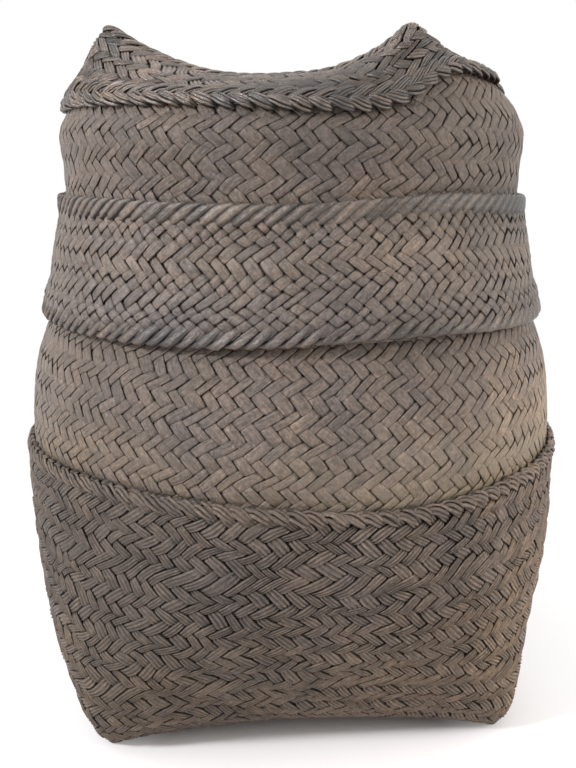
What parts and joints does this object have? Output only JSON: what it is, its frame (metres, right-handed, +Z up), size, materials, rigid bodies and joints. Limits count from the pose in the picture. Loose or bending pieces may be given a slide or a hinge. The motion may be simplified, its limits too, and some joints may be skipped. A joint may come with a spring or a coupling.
{
  "type": "lidded basket",
  "caption": "Tall plaited basket with a square footed base, a round belly and neck, and a deep slip-over lid whose top rises to peaks.",
  "frame": {"origin": "on the floor, under the middle of the basket's square base", "axes": "+Z up through the lid; +X and +Y square to the sides of the base"},
  "size_m": [0.3502, 0.3502, 0.4125],
  "materials": {
    "fine_plait": "weathered grey-brown split bamboo, matt",
    "coarse_plait": "darker grey-brown strands, matt",
    "folded_edge": "split bamboo worn smooth at the fold, satin",
    "cane": "plain cane, satin"
  },
  "bodies": {
    "basket": {"outer_cover": "coarse_plait", "inner_basket": "fine_plait", "cover_edge_braid": "coarse_plait", "mouth_fold": "folded_edge", "mouth_hoop": "cane"},
    "lid": {"lid_cap": "coarse_plait", "lid_shell": "fine_plait", "cap_edge_braid": "coarse_plait", "lid_band": "fine_plait", "band_ridge_fold": "folded_edge", "ridge_hoop": "cane", "lid_rim_fold": "folded_edge", "rim_hoop": "cane"}
  },
  "joints": [
    {"name": "lid_lift", "type": "slide", "parent": "basket", "child": "lid", "axis": [0, 0, 1], "range_m": [0, 0.18]}
  ]
}
